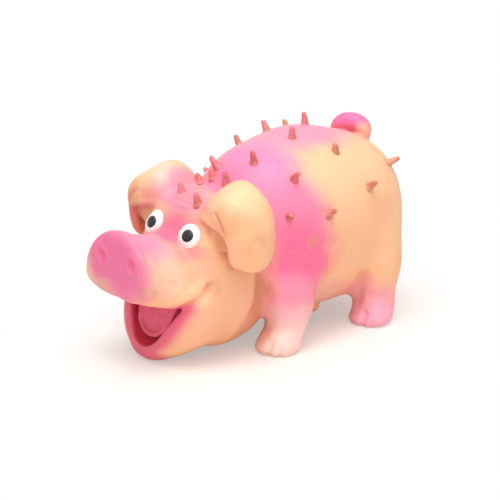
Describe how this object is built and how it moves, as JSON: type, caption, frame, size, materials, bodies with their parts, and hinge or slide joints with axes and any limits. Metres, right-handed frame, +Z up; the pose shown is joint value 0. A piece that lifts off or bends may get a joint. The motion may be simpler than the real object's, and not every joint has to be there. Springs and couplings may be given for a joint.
{
  "type": "dog toy",
  "caption": "Stuffed latex pig dog toy with short moulded bristles, an open mouth and a squeeze voice in its belly.",
  "frame": {"origin": "on the floor, below the middle of the whole toy's box", "axes": "+Z up, the pig faces -Y and its left side is +X"},
  "size_m": [0.114, 0.205, 0.1271],
  "materials": {
    "body_latex": "satin latex, peach with sprayed pink",
    "head_latex": "satin latex, peach with sprayed pink on the snout and brow",
    "ear_latex": "satin latex, peach outside and rose inside",
    "jaw_latex": "satin latex, pink lip and dark rose mouth",
    "leg_latex": "satin latex, pale pink and cream",
    "tail_latex": "satin latex, hot pink",
    "white_lacquer": "gloss",
    "black_lacquer": "gloss",
    "fibre": "loose polyester fibre",
    "voice_plastic": "matte",
    "reed_brass": "satin"
  },
  "bodies": {
    "torso": {"torso_skin": "body_latex", "head_skin": "head_latex", "eye_white_left": "white_lacquer", "eye_white_right": "white_lacquer", "pupil_left": "black_lacquer", "pupil_right": "black_lacquer", "body_stuffing": "fibre", "head_stuffing": "fibre", "voice_housing": "voice_plastic", "voice_lid": "voice_plastic", "reed_block": "voice_plastic", "belly_washer": "body_latex"},
    "jaw": {"jaw_skin": "jaw_latex"},
    "ear_left": {"ear_left": "ear_latex"},
    "ear_right": {"ear_right": "ear_latex"},
    "leg_front_left": {"leg_front_left": "leg_latex"},
    "leg_front_right": {"leg_front_right": "leg_latex"},
    "leg_rear_left": {"leg_rear_left": "leg_latex"},
    "leg_rear_right": {"leg_rear_right": "leg_latex"},
    "tail": {"tail": "tail_latex"},
    "reed": {"reed": "reed_brass"}
  },
  "joints": [
    {"name": "jaw_close", "type": "hinge", "parent": "torso", "child": "jaw", "pos_m": [0, -0.0615, 0.044], "axis": [-1, 0, 0], "range_deg": [0, 14], "stiffness_Nm_per_rad": 0.3},
    {"name": "ear_left_flop", "type": "hinge", "parent": "torso", "child": "ear_left", "pos_m": [0.027, -0.0435, 0.084], "axis": [-0.2756, -0.9613, 0], "range_deg": [-5, 30], "stiffness_Nm_per_rad": 0.05},
    {"name": "ear_right_flop", "type": "hinge", "parent": "torso", "child": "ear_right", "pos_m": [-0.027, -0.0435, 0.084], "axis": [-0.2756, 0.9613, 0], "range_deg": [-5, 30], "stiffness_Nm_per_rad": 0.05},
    {"name": "leg_front_left_swing", "type": "hinge", "parent": "torso", "child": "leg_front_left", "pos_m": [0.027, -0.0125, 0.038], "axis": [1, 0, 0], "range_deg": [-7, 7], "stiffness_Nm_per_rad": 0.4},
    {"name": "leg_front_right_swing", "type": "hinge", "parent": "torso", "child": "leg_front_right", "pos_m": [-0.027, -0.0125, 0.038], "axis": [1, 0, 0], "range_deg": [-7, 7], "stiffness_Nm_per_rad": 0.4},
    {"name": "leg_rear_left_swing", "type": "hinge", "parent": "torso", "child": "leg_rear_left", "pos_m": [0.027, 0.063, 0.04], "axis": [1, 0, 0], "range_deg": [-7, 7], "stiffness_Nm_per_rad": 0.4},
    {"name": "leg_rear_right_swing", "type": "hinge", "parent": "torso", "child": "leg_rear_right", "pos_m": [-0.027, 0.063, 0.04], "axis": [1, 0, 0], "range_deg": [-7, 7], "stiffness_Nm_per_rad": 0.4},
    {"name": "tail_bend", "type": "hinge", "parent": "torso", "child": "tail", "pos_m": [0, 0.0835, 0.10724], "axis": [1, 0, 0], "range_deg": [-10, 10], "stiffness_Nm_per_rad": 0.01},
    {"name": "reed_flex", "type": "hinge", "parent": "torso", "child": "reed", "pos_m": [0, 0.024, 0.01385], "axis": [1, 0, 0], "range_deg": [-3, 3], "stiffness_Nm_per_rad": 0.0001}
  ]
}
